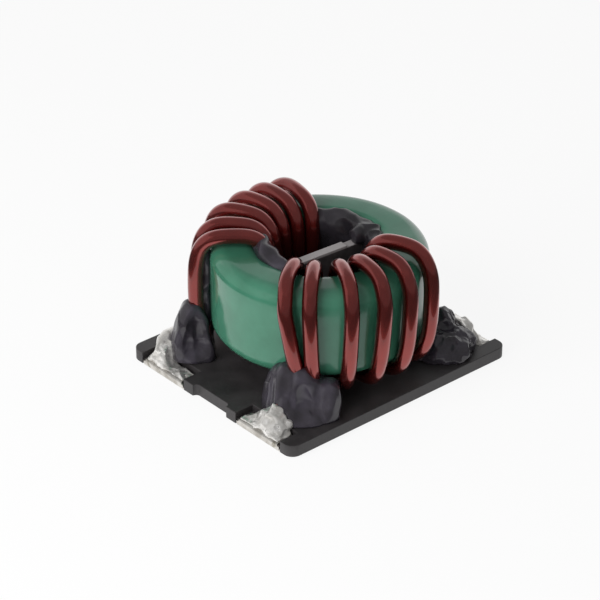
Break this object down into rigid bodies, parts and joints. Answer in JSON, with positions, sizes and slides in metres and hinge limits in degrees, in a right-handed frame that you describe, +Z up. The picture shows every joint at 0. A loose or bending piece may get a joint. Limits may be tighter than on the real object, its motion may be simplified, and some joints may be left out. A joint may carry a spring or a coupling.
{
  "type": "toroidal inductor",
  "caption": "Surface-mount toroidal inductor: a green coated ring core wound with thick red enamelled wire, held by dark epoxy on a black plate with tinned edge terminals.",
  "frame": {"origin": "centre of the underside, on the plane of the solder pads", "axes": "+X along the plate's long side and the separator card, +Y from the front winding to the rear winding, +Z up from the circuit board"},
  "size_m": [0.027, 0.0239, 0.0148],
  "materials": {
    "moulded_plate": "moulded, satin",
    "tin_plate": "satin tin plate on copper",
    "ferrite": "sintered, matte",
    "green_coat": "gloss epoxy coat",
    "enamelled_wire": "copper wire under clear red enamel",
    "card": "pressed board, matte",
    "solder": "satin solder",
    "dark_epoxy": "set epoxy, glossy"
  },
  "bodies": {
    "root": {"base": "moulded_plate", "terminal_front": "tin_plate", "terminal_left": "tin_plate", "terminal_right": "tin_plate", "terminal_back": "tin_plate", "ferrite_core": "ferrite", "core_coating": "green_coat", "winding_front": "enamelled_wire", "winding_rear": "enamelled_wire", "separator": "card", "solder_front": "solder", "solder_left": "solder", "solder_right": "solder", "solder_back": "solder", "glue_front": "dark_epoxy", "glue_left": "dark_epoxy", "glue_right": "dark_epoxy", "glue_back": "dark_epoxy", "glue_near": "dark_epoxy", "glue_far": "dark_epoxy"}
  },
  "joints": []
}
